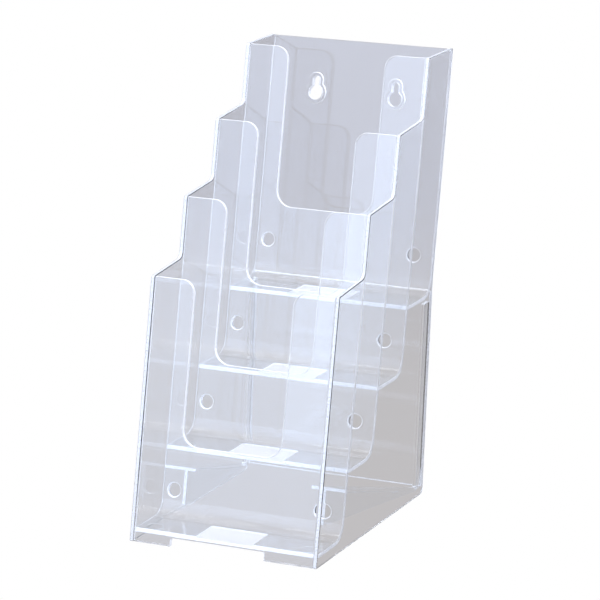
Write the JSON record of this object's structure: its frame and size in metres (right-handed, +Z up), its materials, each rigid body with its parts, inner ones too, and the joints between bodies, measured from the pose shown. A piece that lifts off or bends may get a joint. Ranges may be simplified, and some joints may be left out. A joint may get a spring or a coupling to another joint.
{
  "type": "magazine rack",
  "caption": "Clear stepped leaflet holder: leaning tiers of pockets between two side panels, with finger cut-outs, wall holes and rear keyholes.",
  "frame": {"origin": "middle of the overall width and depth, on the table", "axes": "+X to the holder's right as seen from its front, +Y to the back, +Z up"},
  "size_m": [0.118, 0.1934, 0.264],
  "materials": {
    "side_plastic": "polished clear polystyrene sheet",
    "panel_plastic": "polished clear polystyrene sheet",
    "gusset_plastic": "polished clear polystyrene sheet"
  },
  "bodies": {
    "root": {"left_side_panel": "side_plastic", "right_side_panel": "side_plastic", "front_panel": "panel_plastic", "first_step_sheet": "panel_plastic", "second_step_sheet": "panel_plastic", "third_step_sheet": "panel_plastic", "rear_sheet": "panel_plastic", "lower_rear_panel": "panel_plastic", "left_gusset": "gusset_plastic", "right_gusset": "gusset_plastic"}
  },
  "joints": []
}
